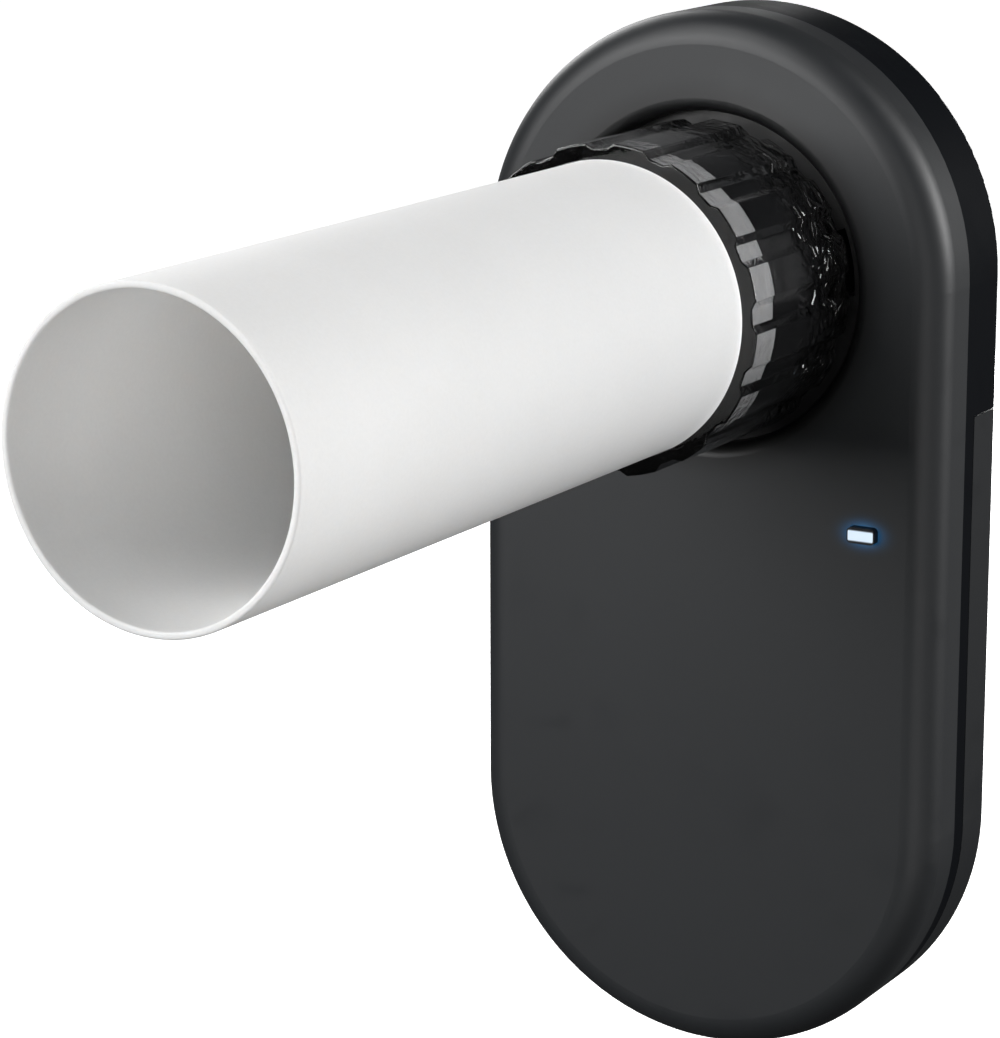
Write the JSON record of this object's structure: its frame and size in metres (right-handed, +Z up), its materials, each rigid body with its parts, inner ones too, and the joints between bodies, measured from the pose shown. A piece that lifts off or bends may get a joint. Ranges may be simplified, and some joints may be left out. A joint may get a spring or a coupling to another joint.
{
  "type": "electronic peak flow meter",
  "caption": "Handheld capsule-shaped breath flow meter with a turbine in a fluted collar and a straight push-on mouthpiece tube",
  "frame": {"origin": "middle of the housing's width, depth and height, where the hand closes round it", "axes": "+Z up along the housing, -Y along the mouthpiece towards the user, +X to the right as seen from the user"},
  "size_m": [0.054, 0.1132, 0.112],
  "materials": {
    "shell_grey": "fine matt moulding",
    "shell_black": "smooth satin moulding",
    "cover_grey": "fine matt moulding",
    "inner_black": "as moulded",
    "turbine_black": "polished, dark smoked",
    "collar_smoke": "polished, smoked clear",
    "bearing_brass": "turned",
    "vane_black": "thin moulding",
    "axle_steel": "ground",
    "mouthpiece_white": "smooth white",
    "board_green": "solder mask",
    "opto_clear": "clear epoxy",
    "opto_dark": "dark epoxy",
    "light_white": "diffusing, lit",
    "led_chip": "moulded",
    "shield_tin": "tinned can",
    "chip_black": "moulded",
    "screw_steel": "zinc plated",
    "cell_jacket": "bare printed jacket, plain",
    "contact_nickel": "nickel plated"
  },
  "bodies": {
    "housing": {"front_shell": "shell_grey", "rear_shell": "shell_black", "turbine_seat": "inner_black", "main_board": "board_green", "ir_emitters": "opto_clear", "ir_detectors": "opto_dark", "light_pipe": "light_white", "light_sleeve": "inner_black", "status_led": "led_chip", "radio_module": "shield_tin", "board_chips": "chip_black", "board_screws": "screw_steel", "housing_screws": "screw_steel", "battery_cells": "cell_jacket", "plus_contact": "contact_nickel", "minus_contact": "contact_nickel", "bridge_contact": "contact_nickel"},
    "cover": {"battery_cover": "cover_grey"},
    "turbine": {"turbine_body": "turbine_black", "grip_collar": "collar_smoke", "front_swirler": "turbine_black", "rear_swirler": "turbine_black", "front_bearing": "bearing_brass", "rear_bearing": "bearing_brass"},
    "rotor": {"rotor_vane": "vane_black", "rotor_axle": "axle_steel"},
    "mouthpiece_tube": {"mouthpiece": "mouthpiece_white"}
  },
  "joints": [
    {"name": "cover_slide", "type": "slide", "parent": "housing", "child": "cover", "axis": [0, 0, -1], "range_m": [0, 0.01]},
    {"name": "turbine_twist", "type": "hinge", "parent": "housing", "child": "turbine", "pos_m": [0, 0, 0.0284], "axis": [0, -1, 0], "range_deg": [0, 40]},
    {"name": "rotor_spin", "type": "hinge", "parent": "turbine", "child": "rotor", "pos_m": [0, 0, 0.0284], "axis": [0, -1, 0], "continuous": true},
    {"name": "mouthpiece_pull", "type": "slide", "parent": "turbine", "child": "mouthpiece_tube", "axis": [0, -1, 0], "range_m": [0, 0.012]}
  ]
}
